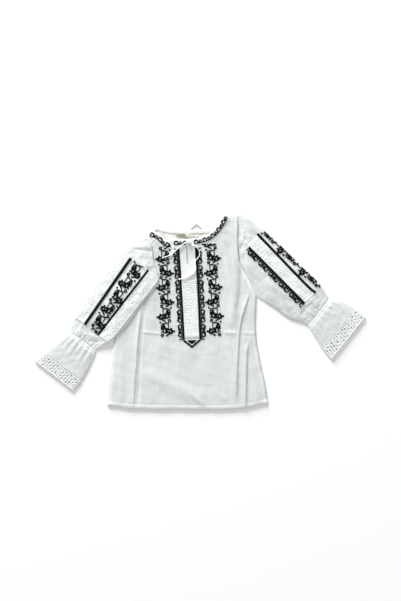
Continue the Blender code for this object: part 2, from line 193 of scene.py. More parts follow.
LEFT_CREASES = [
    ([(-110, 143), (-128, 145), (-158, 149)], 3.4, -0.72),
    ([(-112, 152), (-132, 156), (-150, 154)], 4.5, 0.42),
    ([(-107, 132), (-126, 131), (-148, 136)], 4.5, 0.39),
    ([(-104, 112), (-118, 108), (-132, 112)], 4, 0.29),
    ([(-118, 168), (-138, 166), (-158, 152)], 3.6, -0.26),
    ([(-160, 142), (-172, 134), (-182, 122)], 4.5, -0.29),
    ([(-102, 84), (-128, 62), (-150, 30)], 5, 0.31),
    ([(-214, -48), (-238, -58), (-262, -52)], 4, 0.62),
    ([(-222, -66), (-244, -70), (-264, -64)], 3, -0.52),
    ([(-262, -10), (-276, -30), (-288, -50)], 4.5, 0.62),
    ([(-285, 0), (-292, -22), (-298, -44)], 3.5, -0.42),
]
RIGHT_CREASES = [
    ([(113, 222), (124, 200), (134, 174)], 3.2, -1.02),
    ([(103, 224), (112, 200), (118, 172)], 5, 0.83),
    ([(108, 176), (101, 160), (95, 146)], 3, -0.83),
    ([(100, 196), (103, 176), (104, 158)], 5, 0.83),
    ([(104, 138), (104, 118), (110, 100)], 3.4, -0.51),
    ([(167, 88), (178, 64), (186, 36), (202, -6)], 4.5, -0.95),
    ([(158, 84), (168, 56), (176, 30), (190, 4)], 9, 0.95),
    ([(196, 60), (206, 36), (216, 8)], 8, 0.58),
    ([(134, 196), (150, 176), (164, 160)], 5, 0.32),
    ([(262, 22), (248, 8), (236, -10)], 4, -0.64),
    ([(276, 44), (262, 30), (250, 14)], 5, 0.64),
    ([(292, 40), (284, 24), (270, 4)], 3.5, -0.44),
]
# Gathers of a ruffle. Columns: place across (0 to 1), height, spread across, reach along (0 to 1).
GATHERS = [
    (0.07, -0.26, 0.031, 0.66),
    (0.14, 0.50, 0.064, 0.96),
    (0.22, -0.29, 0.035, 0.72),
    (0.31, 0.63, 0.071, 0.84),
    (0.39, -0.34, 0.035, 0.60),
    (0.47, 0.41, 0.055, 0.66),
    (0.54, -0.31, 0.039, 0.90),
    (0.62, 0.68, 0.079, 1.00),
    (0.71, -0.31, 0.031, 0.60),
    (0.79, 0.50, 0.064, 0.78),
    (0.86, -0.26, 0.031, 0.72),
    (0.92, 0.39, 0.046, 0.96),
]

# ---- Lace bands: the line of one edge, and the width to its left (negative: to its right) ------
FRONT_LACE = dict(start=(-43.2, 74), end=(-35.6, -61), width=34)
SLEEVE_LACE = {
    "sleeve_lace_left_outer": dict(start=(-165.6, 129.8), end=(-273.7, -26.5), width=-25),
    "sleeve_lace_left_inner": dict(start=(-118.4, 97.6), end=(-237.1, -55.1), width=30),
    "sleeve_lace_right": dict(start=(112.6, 158.1), end=(247.7, 23), width=30),
}

BAND_REPEAT = 8.4  # from one large eyelet to the next
TRIM_REPEAT = 13.6
BAND_GRID = 0.85  # side of a face of the mesh
TRIM_GRID = 0.75

# ---- Cords, label, hanger loop ---------------------------------------------------------------
CORD_RADIUS = 1.0
KNOT = (-27.6, 166, 6)
# Columns: x, y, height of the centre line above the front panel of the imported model.
CORD_LEFT = [
    (-32.6, 164.6, 2.9),
    (-38, 160.6, 2.4),
    (-46.5, 154.6, 1.9),
    (-55.5, 146.5, 1.7),
    (-64.5, 138.6, 1.7),
    (-74.5, 132.4, 1.7),
    (-85, 129.2, 1.7),
]
CORD_RIGHT = [
    (-22.6, 164.4, 2.9),
    (-16, 160.4, 2.4),
    (-8.4, 153.6, 1.9),
    (-2.2, 145.2, 1.7),
    (-0.6, 136, 1.7),
    (-4.6, 128.4, 1.7),
    (-10.2, 121.6, 1.7),
    (-10.6, 112, 1.7),
    (-9.6, 102.6, 1.7),
    (-14.4, 94, 1.7),
    (-24, 87.2, 1.7),
    (-34.6, 82, 1.7),
    (-46.2, 78.4, 1.7),
]
HANGER_LOOP = [(-21.6, 195.6), (-15.6, 201.6), (-9.6, 207.2), (-2.8, 202.4), (4.7, 195.8)]
# Columns: start, end, width at the start, width at the end, height over the back panel.
LABEL = ((-57, 181.5), (-30, 179.2), 2, 9, 0.9)
SIZE_TAPE = ((-33, 181.6), (-3, 177.6), 8, 6.5, 1.3)

# ---- Embroidery ------------------------------------------------------------------------------
STITCH = 1.2  # side of one cross-stitch
# A motif's marks are strokes. Columns: along, across at the start, the same at the end, half
# width, and 1 for thread or 0 for bare cloth. A dot starts and ends at one place.
FLOWER = [
    (0, 6.4, 16, 6.4, 1.25, 1),
    (2, 6, 3.2, -9, 1.25, 1),
    (1.8, 2.5, 2.2, 1, 1.95, 1),
    (0.5, -12.8, 0.5, -12.8, 2.35, 1),
    (9, -8, 9, -8, 4.15, 1),
    (6, -4, 11, -3.6, 2.05, 1),
    (12.6, -10.5, 12.6, -2, 2.05, 1),
    (15.6, -10, 15.6, 2, 2.35, 1),
    (17.8, -7.4, 17.8, -6.4, 2.25, 1),
    (15.8, 0, 17.8, 4, 2.85, 1),
    (22.6, -10.6, 22.6, -5, 1.65, 1),
    (24, -3.5, 24, -3.5, 2.55, 1),
    (24.6, 0, 24.6, 4, 1.85, 1),
    (20, 1.2, 20, 1.2, 3.35, 1),
    (20.4, -6.6, 20.4, -6.6, 1.85, 1),
    (25.2, 5, 26, 12, 1.45, 1),
    (17.6, 8, 17.6, 10, 1.85, 1),
    (15.4, 12.6, 15.4, 12.6, 2.35, 1),
    (17, 11, 19, 14, 2.05, 1),
    (20.5, 14, 21.8, 19.6, 2.35, 1),
    (23.5, 13.4, 25.2, 14.6, 2.25, 1),
    (18.5, 3.5, 24, 6.5, 2.2, 1),
    (18.8, 8.2, 24.5, 8.4, 1.8, 1),
    (20.5, 12.2, 24.5, 12, 1.8, 1),
    (26.4, 13, 27.2, 9, 1.75, 1),
    (27.2, 9, 29.6, 4.6, 1.65, 1),
    (29.6, 4.6, 31.6, 1.6, 1.85, 1),
    (30.4, -8.6, 30.4, -8.6, 4.05, 1),
    (30.4, -8.6, 30.4, -8.6, 0.95, 0),
    (8.8, -8, 8.8, -8, 1.15, 0),
    (17.6, -3.6, 21.4, -3.6, 0.9, 0),
    (20.2, 6, 20.2, 6, 1.1, 0),
    (22.4, 10.6, 22.4, 10.6, 1.1, 0),
]
FLOWER_STEP = 34.0
# Half of a scroll, up to its middle; the other half is the same, turned over along the band.
SCROLL = [
    (2.4, 0.6, 3.4, 4.6, 1.5, 1),
    (3.4, 4.6, 6.6, 7.4, 1.6, 1),
    (6.6, 7.4, 9.8, 6.8, 1.8, 1),
    (9.8, 6.8, 10.6, 4.4, 1.9, 1),
    (2.4, 0.2, 14.5, 0.2, 0.9, 1),
    (13.2, 1.4, 15.6, 5.6, 1.7, 1),
    (13.4, 6.6, 16.4, 2.6, 1.6, 1),
    (16, 6, 17.3, 6, 1.6, 1),
    (17, 3.8, 17.3, 3.8, 0.8, 0),
]
SCROLL_STEP = 34.5
BAR = 7.2  # the solid bar and dotted line beside a scroll
BAR_SOLID = 4.8
POINT = [
    (0, -19, 16, 0, 2.3, 1),
    (0, 19, 16, 0, 2.3, 1),
    (0.6, -9.6, 0.6, 9.6, 1.3, 1),
    (2.9, -7.4, 2.9, 7.4, 1.3, 1),
    (5.2, -5, 5.2, 5, 1.3, 1),
    (7.4, -2.4, 7.4, 2.4, 1.3, 1),
]
# One large and one small arch of the neck's edging.
ARCHES = [
    (1.2, 1.6, 1.6, 5, 1.5, 1),
    (1.6, 5, 4, 7.4, 1.6, 1),
    (4, 7.4, 7.4, 7.2, 1.7, 1),
    (7.4, 7.2, 9.6, 4.6, 1.6, 1),
    (9.6, 4.6, 10.2, 1.6, 1.5, 1),
    (13.2, 1.6, 14.6, 4.6, 1.6, 1),
    (14.6, 4.6, 17, 5.2, 1.5, 1),
    (17, 5.2, 19, 1.6, 1.5, 1),
]
ARCH_STEP = 21.4
NECK_BAR = (-1.8, 0.5)  # the solid line's outer and inner side


# ==== Curves and plans ==========================================================================
def even(count):
    return np.linspace(0, 1, count)


def along(points, fractions):
    """Points of a Catmull-Rom curve: each span is the cubic set by the four points round it."""
    points = np.asarray(points, float)
    p = np.concatenate([[2 * points[0] - points[1]], points, [2 * points[-1] - points[-2]]])
    t = np.linspace(0, 1, 40, endpoint=False)[:, None]
    spans = []
    for a, b, c, d in zip(p, p[1:], p[2:], p[3:]):
        cubic = 3 * b - a - 3 * c + d
        square = 2 * a - 5 * b + 4 * c - d
        spans.append(0.5 * (2 * b + (c - a) * t + square * t**2 + cubic * t**3))
    fine = np.concatenate([*spans, points[-1:]])
    run = np.concatenate([[0], np.cumsum(np.linalg.norm(np.diff(fine, axis=0), axis=1))])
    wanted = np.asarray(fractions) * run[-1]
    return np.stack([np.interp(wanted, run, column) for column in fine.T], axis=1)


def length_of(points):
    return np.linalg.norm(np.diff(along(points, even(200)), axis=0), axis=1).sum()


def joined(first, steps, second, more):
    return np.concatenate([along(first, even(steps + 1)), along(second, even(more + 1))[1:]])


def heading(line):
    """Unit directions along a line of points."""
    ahead = np.gradient(line, axis=0)
    return ahead / np.linalg.norm(ahead, axis=-1, keepdims=True)


def left_of(ahead):
    """Directions turned a quarter to the left."""
    return np.stack([-ahead[..., 1], ahead[..., 0]], axis=-1)


def shifted(line, distance):
    return line + distance * left_of(heading(line))


def coons(low, high, left, right):
    """A patch between four edges: the mean of the straight blends between facing edges, less the
    blend of the four corners."""
    u = even(len(low))[None, :, None]
    v = even(len(left))[:, None, None]
    up = (1 - v) * low[None] + v * high[None]
    over = (1 - u) * left[:, None] + u * right[:, None]
    corners = (1 - v) * ((1 - u) * low[0] + u * low[-1]) + v * ((1 - u) * high[0] + u * high[-1])
    return up + over - corners


def strip_plan(start, end, width, rows, columns, holds):
    """A band beside a straight line: rows run along the line, columns across from left to right.

    Each row stops where the cloth under it does, so the band narrows beside a curved edge."""
    start, end = np.array(start), np.array(end)
    side = left_of((end - start) / np.linalg.norm(end - start)) * width
    line = start + even(rows)[:, None, None] * (end - start)
    kept = holds(line + even(50)[None, :, None] * side).mean(axis=1)
    kept = np.convolve(np.pad(kept, 4, mode="edge"), np.full(9, 1 / 9), mode="valid")
    across = even(columns) if width < 0 else even(columns)[::-1]
    return line + across[None, :, None] * kept[:, None, None] * side


# ==== Heights ===================================================================================
def near(place, path):
    """Signed distance to a smooth path, positive on its left, and the share of it run."""
    shape = place.shape[:-1]
    line = along(path, even(18))
    place = place.reshape(-1, 1, 2)
    start, side = line[None, :-1], np.diff(line, axis=0)[None]
    share = np.clip(((place - start) * side).sum(-1) / (side**2).sum(-1), 0, 1)
    gap = place - start - share[..., None] * side
    distance = np.linalg.norm(gap, axis=-1)
    best = distance.argmin(axis=1)
    row = np.arange(len(best))
    turn = side[0, best, 0] * gap[row, best, 1] - side[0, best, 1] * gap[row, best, 0]
    run = (best + share[row, best]) / side.shape[1]
    return (np.sign(turn) * distance[row, best]).reshape(shape), run.reshape(shape)


def smooth(x):
    """Rises from 0 to 1 along a cubic with level ends."""
    x = np.clip(x, 0, 1)
    return x * x * (3 - 2 * x)


def creased(place, creases):
    """Height of a table of creases: a bell or a one-sided tuck across each, faded at its ends."""
    height = np.zeros(place.shape[:-1])
    for path, half_width, rise, *tuck in creases:
        away, run = near(place, path)
        if tuck:
            steep = np.exp(-((away / TUCK_STEEP) ** 2))
            across = np.where(away > 0, steep, np.exp(away / half_width))
        else:
            across = np.exp(-((away / half_width) ** 2))
        height += rise * across * smooth(run / 0.18 + 0.25) * smooth((1 - run) / 0.18 + 0.25)
    return height


def ripples(place, seed, size, rise):
    """Soft unevenness: a sum of sine waves in many directions, with lengths near size."""
    rng = np.random.default_rng(seed)
    height = np.zeros(place.shape[:-1])
    for _ in range(14):
        angle, phase = rng.uniform(0, TAU, 2)
        wave = size * rng.uniform(0.6, 1.8)
        lean = place[..., 0] * np.cos(angle) + place[..., 1] * np.sin(angle)
        height += np.sin(lean * TAU / wave + phase)
    return height * rise / 14**0.5


def distance_outside(place, outline):
    """How far each place lies outside a closed outline, and 0 inside it."""
    shape = place.shape[:-1]
    place = place.reshape(-1, 1, 2)
    start = outline[None]
    side = np.roll(outline, -1, axis=0)[None] - start
    share = np.clip(((place - start) * side).sum(-1) / (side**2).sum(-1), 0, 1)
    away = np.linalg.norm(place - start - share[..., None] * side, axis=-1).min(axis=1)
    rises = (start[..., 1] > place[..., 1]) != ((start + side)[..., 1] > place[..., 1])
    flat = np.where(side[..., 1] == 0, 1, side[..., 1])
    crossing = start[..., 0] + (place[..., 1] - start[..., 1]) / flat * side[..., 0]
    inside = (rises & (place[..., 0] < crossing)).sum(axis=1) % 2 == 1
    return np.where(inside, 0, away).reshape(shape)


def body_plan(across, side_steps, arm_steps, neck):
    """Plan of a body panel whose neck edge is given; the last two columns are the shoulder."""
    left = joined(SIDE_LEFT, side_steps, ARMHOLE_LEFT, arm_steps)
    right = joined(SIDE_RIGHT, side_steps, ARMHOLE_RIGHT, arm_steps)
    neck_share = 0.9
    count = round(across * neck_share)
    shoulder = along([neck[-1], *SHOULDER_RIGHT], even(across - count + 1))
    top = np.concatenate([along(neck, even(count + 1)), shoulder[1:]])
    left[-1] = top[0]
    return coons(along(HEM, even(across + 1)), top, left, right)


FRONT_NECK = shifted(along(NECK_LINE, even(60)), 2.5 - NECK_BELOW)  # it runs under the band
PLAN_COARSE = body_plan(20, 12, 10, FRONT_NECK)
OUTLINE = np.concatenate(
    [PLAN_COARSE[0], PLAN_COARSE[1:, -1], PLAN_COARSE[-1, -2::-1], PLAN_COARSE[-2:0:-1, 0]]
)


def edge_distance(place, *edges):
    """Distance inwards from the nearest of some edges."""
    return np.minimum.reduce([np.abs(near(place, edge)[0]) for edge in edges])


def neck_gathers(place):
    """Small gathers below the neck band, that die out down the front."""
    away, run = near(place, NECK_LINE)
    below = np.clip(-away - NECK_BELOW, 0, None)
    wave = np.sin(run * TAU * 43 + 1.4 * np.sin(run * 31))
    return 0.5 * wave * np.exp(-below / 15.0) * (away < 0)


def front_height(place):
    """Top of the front panel: level, rounded down to its seams, with creases and gathers.

    At the sides and hem it rolls down a quarter circle to the back panel."""
    free = edge_distance(place, SIDE_LEFT, ARMHOLE_LEFT, SIDE_RIGHT, HEM)
    inward = np.minimum(free, edge_distance(place, ARMHOLE_RIGHT))
    level = SEAM_TOP + (FRONT_TOP - SEAM_TOP) * (1 - np.exp(-((inward / SEAM_ROUND) ** 2)))
    roll = (1 - (1 - np.clip(free / EDGE_ROLL, 0, 1)) ** 2) ** 0.5
    level = EDGE_FOOT + (level - EDGE_FOOT) * roll
    hem = np.abs(near(place, HEM)[0])
    double = 0.25 * smooth((HEM_WIDTH + 0.6 - hem) / 1.2) - 0.3 * np.exp(-((hem - HEM_WIDTH) ** 2))
    slit = np.array([SLIT_TOP, SLIT_FOOT, (SLIT_FOOT[0], SLIT_FOOT[1] - 6)])
    away, run = near(place, slit)
    lips = 0.7 * np.exp(-(((np.abs(away) - 1.8) / 1.3) ** 2)) * smooth((1 - run) * 4)
    soft = ripples(place, 3, 42.0, 0.16) + ripples(place, 4, 14.0, 0.05)
    folds = creased(place, FRONT_CREASES) * smooth(inward / 5.0 + 0.35)
    return level + double + lips + soft + folds + neck_gathers(place)


def left_rest(place):
    """What the left sleeve lies on: the front panel, and beyond it the table."""
    away = distance_outside(place, OUTLINE)
    fall = smooth((away - 2.0) / FALL)
    level = FRONT_TOP + LIE_GAP + np.clip(creased(place, FRONT_CREASES), 0, None)
    return level * (1 - fall) + 0.1 * fall


def on_table(place):
    return np.full(place.shape[:-1], 0.1)


def everywhere(place):
    return np.ones(place.shape[:-1])


def share_across(place, low, high):
    """0 to 1 from one edge of a sleeve to the other, from the distances to both."""
    to_low, to_high = np.abs(near(place, low)[0]), np.abs(near(place, high)[0])
    return to_low / (to_low + to_high + 1e-9)


class Tube:
    """A flattened sleeve or ruffle: its two edges, what it lies on and how its cloth is creased."""

    def __init__(self, low, high, seam, rest, crown, creases, seed, gather_rise):
        self.low, self.high, self.seam, self.rest, self.crown = low, high, seam, rest, crown
        self.creases, self.seed, self.gather_rise = creases, seed, gather_rise

    def round_off(self, u):
        """1 over most of the width, falling to 0 at both folded edges."""
        return (1 - np.abs(2 * u - 1) ** 3.2) ** 0.55

    def top(self, place):
        u = share_across(place, self.low, self.high)
        wrist = np.array([self.low[-1], self.high[-1]], float)
        away = np.abs(near(place, wrist)[0])
        wave = np.sin(u * TAU * 9 + 1.3 * np.sin(u * 17 + self.seed))
        gathered = self.gather_rise * wave * np.exp(-away / 13.0)
        soft = ripples(place, self.seed, 34.0, 0.30) + ripples(place, self.seed + 1, 13.0, 0.08)
        from_seam = np.abs(near(place, self.seam)[0])
        calm = 1 - 0.88 * np.exp(-((from_seam / 16.0) ** 2)) - 0.5 * np.exp(-away / 14.0)
        level = TUBE_HALF + self.crown * self.round_off(u) * calm
        return self.rest(place) + level + (creased(place, self.creases) + soft + gathered) * (
            self.round_off(u)
        )

    def holds(self, place):
        """Whether a place is between both edges, clear of the folded one."""
        low, high = near(place, self.low)[0], near(place, self.high)[0]
        return (low * high < 0) & (np.abs(high) > 1.5)

    def under(self, place, u):
        """The lower layer: it lies flat and turns up to the folded edges."""
        return self.rest(place) + TUBE_HALF * (1 - (1 - np.abs(2 * u - 1) ** 12) ** 0.5)


LEFT = Tube(LEFT_INNER, LEFT_OUTER, LEFT_SEAM, left_rest, 1.4, LEFT_CREASES, 11, 0.28)
RIGHT = Tube(
    RIGHT_LOWER, RIGHT_UPPER, ARMHOLE_RIGHT, on_table, 2.4, RIGHT_CREASES, 21, 0.28
)


# ==== Materials =================================================================================
def linear(code, alpha=1.0):
    """An sRGB hex colour as linear red, green, blue and alpha."""
    value = np.array([int(code[i : i + 2], 16) for i in (1, 3, 5)]) / 255
    value = np.where(value <= 0.04045, value / 12.92, ((value + 0.055) / 1.055) ** 2.4)
    return (*value.tolist(), alpha)


def node(tree, kind, inputs=None, **settings):
    """A node with its settings, and with values or other nodes' outputs on its inputs."""
    made = tree.nodes.new("ShaderNode" + kind)
    for name, value in settings.items():
        setattr(made, name, value)
    for name, value in (inputs or {}).items():
        if isinstance(value, bpy.types.NodeSocket):
            tree.links.new(value, made.inputs[name])
        else:
            made.inputs[name].default_value = value
    return made


def surface(name, colour, roughness, sheen=0.0):
    """A new material with its shader, for its own function to finish."""
    made = bpy.data.materials.new(name)
    made.use_nodes = True
    shader = made.node_tree.nodes["Principled BSDF"]
    shader.inputs["Base Color"].default_value = linear(colour)
    shader.inputs["Roughness"].default_value = roughness
    shader.inputs["Sheen Weight"].default_value = sheen
    shader.inputs["Sheen Roughness"].default_value = 0.5
    return made, made.node_tree, shader


def mixed(tree, factor, first, second):
    """A blend from one colour to another; each is a hex code or another node's output."""
    a, b = (linear(colour) if isinstance(colour, str) else colour for colour in (first, second))
    inputs = {"Factor": factor, "A": a, "B": b}
    return node(tree, "Mix", inputs, data_type="RGBA").outputs["Result"]


def relief(tree, shader, height, strength, distance=0.0002):
    """Lets a height turn the light on a shader; distance is its depth in metres."""
    bump = node(tree, "Bump", {"Height": height, "Strength": strength, "Distance": distance})
    tree.links.new(bump.outputs["Normal"], shader.inputs["Normal"])


def larger(tree, first, second):
    return node(tree, "Math", {0: first, 1: second}, operation="MAXIMUM").outputs[0]


def weave_map(tree):
    return node(tree, "UVMap", uv_map="weave").outputs["UV"]


def mark(tree, name):
    return node(tree, "Attribute", attribute_name=name).outputs["Fac"]


def noise(tree, place, scale, detail=2.0):
    inputs = {"Vector": place, "Scale": scale, "Detail": detail}
    return node(tree, "TexNoise", inputs).outputs["Fac"]


def threads(tree, place, spacing):
    """Ridges of thread both ways on the weave map, spaced in metres."""
    # A wave texture repeats every pi / 10 of its scaled coordinate.
    uneven = {"Distortion": 1.2, "Detail": 1.0, "Detail Scale": 0.6}
    inputs = {"Vector": place, "Scale": np.pi / 10 / spacing, **uneven}
    waves = [
        node(tree, "TexWave", inputs, wave_type="BANDS", bands_direction=direction)
        for direction in "XY"
    ]
    return larger(tree, *(wave.outputs["Fac"] for wave in waves))


def voile(name, colour, shade, doubled, through="#CBCAC0"):
    """Plain-woven cotton voile: soft and matt, with slubs both ways where a thread is uneven.

    Doubled cloth is whiter; folds and seams are greyer, where the layer below shows through
    and where shade is painted into them."""
    made, tree, shader = surface(name, colour, 0.88, sheen=0.12)
    weave = weave_map(tree)
    slubs = []
    for stretch in ((12, 330, 1), (330, 12, 1)):
        stretched = node(tree, "Mapping", {"Vector": weave, "Scale": stretch}).outputs[0]
        uneven = {"Value": noise(tree, stretched, 1.0, 3.0), "From Min": 0.46, "From Max": 0.72}
        slubs.append(node(tree, "MapRange", uneven).outputs[0])
    slub_lines = larger(tree, *slubs)
    tone = mixed(tree, noise(tree, weave, 26.0), colour, shade)
    tone = mixed(tree, slub_lines, tone, shade)
    # Painted shade: the folded mark greys the cloth to the through tone along folds and pleats.
    tone = mixed(tree, mark(tree, "folded"), tone, through)
    tone = mixed(tree, mark(tree, "doubled"), tone, doubled)
    tree.links.new(tone, shader.inputs["Base Color"])
    both = {0: slub_lines, 1: threads(tree, weave, THREAD_SPACING)}
    relief(tree, shader, node(tree, "Math", both, operation="ADD").outputs[0], 0.35)
    return made


def lace_cotton(name, colour, shade):
    """Mercerised cotton lace: brighter than the voile, its worked threads stand up. Where it is
    thinly worked, round its eyelets, it turns to painted shade."""
    made, tree, shader = surface(name, colour, 0.8, sheen=0.1)
    cells = node(tree, "TexVoronoi", {"Vector": weave_map(tree), "Scale": 700.0}, feature="F1")
    thin = {"Value": mark(tree, "worked"), "From Min": 0.0, "From Max": 0.45}
    # Painted shade: thinly worked lace round the eyelets takes the darker shade colour.
    tone = mixed(tree, node(tree, "MapRange", thin).outputs[0], shade, colour)
    tree.links.new(tone, shader.inputs["Base Color"])
    relief(tree, shader, cells.outputs["Distance"], 0.4, 0.0003)
    return made


def black_thread():
    """Stranded cotton embroidery thread dyed black: a low silky light on each stitch."""
    made, tree, shader = surface("black_stranded_cotton", "#0C0C0F", 0.7)
    shader.inputs["Specular IOR Level"].default_value = 0.12
    wear = noise(tree, node(tree, "TexCoord").outputs["Object"], 900.0)
    tree.links.new(mixed(tree, wear, "#08080A", "#16161A"), shader.inputs["Base Color"])
    return made


def twisted_cotton(name, light, dark):
    """Twisted cotton cord: a matt surface, its fine fibres blur the twist."""
    made, tree, shader = surface(name, light, 0.85, sheen=0.2)
    fibre = noise(tree, node(tree, "TexCoord").outputs["Object"], 2600.0, 3.0)
    relief(tree, shader, fibre, 0.3)
    tree.links.new(mixed(tree, fibre, light, dark), shader.inputs["Base Color"])
    return made


def woven_label(name, colour, shade):
    """Blank woven label: a tight rib with a dull satin light."""
    made, tree, shader = surface(name, colour, 0.6)
    rib = threads(tree, weave_map(tree), RIB_SPACING)
    tree.links.new(mixed(tree, rib, shade, colour), shader.inputs["Base Color"])
    relief(tree, shader, rib, 0.4)
    return made


THREAD_SPACING = 0.0009  # the real threads are 0.35 mm apart; coarser, so that the weave shows
RIB_SPACING = 0.0007  # about twice the real spacing, so that the ribs show
# A voile's through colour, given last or left at its default, is painted shade along its folds.
VOILE = voile("white_cotton_voile", "#E4E8E8", "#D3D8D9", "#EDF0F0")
INSIDE = voile("cotton_voile_inside", "#F4F5F0", "#E9EAE3", "#F0F1EC", "#C4C1B3")
# The second colour of each lace is painted shade round its eyelets.
LACE = lace_cotton("white_cotton_lace", "#EAEEEE", "#D8DDDD")
TRIM = lace_cotton("open_cotton_lace", "#E9ECEC", "#B2B7B8")
BLACK = black_thread()
CORD = twisted_cotton("bleached_twisted_cotton", "#FAFAF7", "#E9E8E2")
# The hanger loop's white cord is given a darker grey-beige: painted shade, standing in for the thin
# loop's shadow.
SHADED_LOOP = twisted_cotton("twisted_cotton_painted_shade", "#B4B2A6", "#918F84")
LABEL_RIB = woven_label("beige_woven_rib", "#98937F", "#77725F")
TAPE_RIB = woven_label("grey_woven_rib", "#D5D4CB", "#A9A79C")


# ==== Meshes ====================================================================================
def finished(name, vertices, faces, material):
    """A smooth-shaded object at the origin, from points in millimetres."""
    mesh = bpy.data.meshes.new(name)
    mesh.from_pydata((vertices * MM).tolist(), [], faces.tolist())
    mesh.shade_smooth()
    mesh.materials.append(material)
    piece = bpy.data.objects.new(name, mesh)
    bpy.context.scene.collection.objects.link(piece)
    return piece


def raised(plan, height):
    return np.concatenate([plan, np.broadcast_to(height, plan.shape[:-1])[..., None]], axis=-1)


def cloth(name, points, material, wall=CLOTH_WALL, ring=False, keep=None, marks=None):
    """A wall of cloth on a grid of points (rows, columns, 3), with its top on those points.

    The weave map holds, in metres, the run along a column and across a row. keep says which
    faces stay, and marks holds the values of each named attribute at the points."""
    rows, columns = points.shape[:2]
    number = np.arange(rows * columns).reshape(rows, columns)
    run_across = np.linalg.norm(np.diff(points, axis=1, prepend=points[:, :1]), axis=-1)
    run_along = np.linalg.norm(np.diff(points, axis=0, prepend=points[:1]), axis=-1)
    weave = np.stack([run_across.cumsum(axis=1), run_along.cumsum(axis=0)], axis=-1) * MM
    if ring:
        number = np.concatenate([number, number[:, :1]], axis=1)
    corners = number[:-1, :-1], number[:-1, 1:], number[1:, 1:], number[1:, :-1]
    faces = np.stack([corner.ravel() for corner in corners], axis=1)
    if keep is not None:
        faces = faces[keep.ravel()]
    piece = finished(name, points.reshape(-1, 3), faces, material)
    uv = piece.data.uv_layers.new(name="weave")
    uv.data.foreach_set("uv", weave.reshape(-1, 2)[faces.ravel()].ravel())
    for mark, values in (marks or {}).items():
        layer = piece.data.attributes.new(mark, "FLOAT", "POINT")
        layer.data.foreach_set("value", np.ascontiguousarray(values, float).ravel())
    thickness = piece.modifiers.new("wall", "SOLIDIFY")
    thickness.thickness = wall * MM
    thickness.offset = -1
    return piece


def tube_ring(plan, under, over, thin=4):
    """Rings of a flattened tube: along the lower layer, then back along the upper one.

    The lower layer keeps one column in thin."""
    low = raised(plan, under)[:, :-1:thin]
    high = raised(plan, over)[:, :0:-1]
    return facing_out(plan, np.concatenate([low, high], axis=1))


def facing_out(plan, ring):
    """Rings turned so that their tube faces outwards, from whether its plan runs clockwise."""
    across, down = plan[0, -1] - plan[0, 0], plan[-1, 0] - plan[0, 0]
    return ring if across[0] * down[1] - across[1] * down[0] < 0 else ring[:, ::-1]


def ride(piece, slot, *nodes):
    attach(piece, "root")
    if nodes:
        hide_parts(*nodes)
    return piece


def cord_mesh(name, route, radius, material, closed=False, sides=14, step=0.7, twist=5.0):
    """A twisted cord: a circle carried along the route, swollen where its two plies lie."""
    count = int(length_of(route) / step) if not closed else len(route)
    line = along(route, even(count)) if not closed else np.asarray(route)
    if closed:
        ahead = np.roll(line, -1, axis=0) - np.roll(line, 1, axis=0)
    else:
        ahead = np.gradient(line, axis=0)
    ahead /= np.linalg.norm(ahead, axis=1)[:, None]
    side = np.cross(ahead, (0, 0, 1.0))
    side /= np.linalg.norm(side, axis=1)[:, None]
    over = np.cross(side, ahead)
    run = np.concatenate([[0], np.cumsum(np.linalg.norm(np.diff(line, axis=0), axis=1))])
    angle = TAU * np.arange(sides) / sides
    ply = 0.84 + 0.16 * np.abs(np.cos(angle[None] + run[:, None] * np.pi / twist))
    turn = np.stack([np.cos(angle), np.sin(angle)], axis=1)
    out = turn[None, :, :1] * side[:, None] + turn[None, :, 1:] * over[:, None]
    points = line[:, None] + radius * ply[..., None] * out
    number = np.arange(points.shape[0] * sides).reshape(-1, sides)
    number = np.concatenate([number, number[:, :1]], axis=1)
    if closed:
        number = np.concatenate([number, number[:1]], axis=0)
    corners = number[:-1, 1:], number[:-1, :-1], number[1:, :-1], number[1:, 1:]
    faces = np.stack([corner.ravel() for corner in corners], axis=1)
    piece = finished(name, points.reshape(-1, 3), faces, material)
    return piece, line


def knot_mesh(name, centre, reach, flat, radius, material):
    """An overhand knot: a trefoil curve squeezed to its reach in the plane and its flat height."""
    t = np.linspace(0, TAU, 96, endpoint=False)
    x, y = np.sin(t) + 2 * np.sin(2 * t), np.cos(t) - 2 * np.cos(2 * t)
    line = np.stack([x / 3 * reach[0], y / 3 * reach[1], -np.sin(3 * t) * flat], axis=1)
    return cord_mesh(name, line + centre, radius, material, closed=True, sides=12)[0]


# ==== Camera and cords ==========================================================================
CAMERA_HEIGHT = 2.4
VIEW_HEIGHT = 1.4124  # how much of the table the long side of the frame takes in
VIEW_CENTRE = (0.0012, 0.028)


def build_camera():
    data = bpy.data.cameras.new("camera")
    data.sensor_width = 36
    data.lens = data.sensor_width * CAMERA_HEIGHT / VIEW_HEIGHT
    camera = bpy.data.objects.new("camera", data)
    camera.location = (*VIEW_CENTRE, CAMERA_HEIGHT)
    bpy.context.scene.collection.objects.link(camera)
    bpy.context.scene.camera = camera


CORD_LIFT = 2.9  # the front panel under the cords, over the table


def build_cords():
    """Both free ends of the drawstring, the knots on them and the knot that ties them."""
    knot = knot_mesh("drawstring_tied_knot", KNOT, (4.6, 3.8), 1.5, 1.0, CORD)
    ride(knot, "cord", "drawstring_knot")
    for side, route in (("left", CORD_LEFT), ("right", CORD_RIGHT)):
        points = np.array(route, float)
        points[:, 2] += CORD_LIFT
        piece, line = cord_mesh(f"drawstring_cord_{side}", points, CORD_RADIUS, CORD)
        ride(piece, "cord", f"drawstring_{side}")
        end = line[-1] + (line[-1] - line[-2]) / np.linalg.norm(line[-1] - line[-2]) * 1.6
        tip = knot_mesh(f"drawstring_tip_{side}", end, (1.9, 1.7), 0.8, 0.75, CORD)
        ride(tip, "cord", f"drawstring_end_{side}")


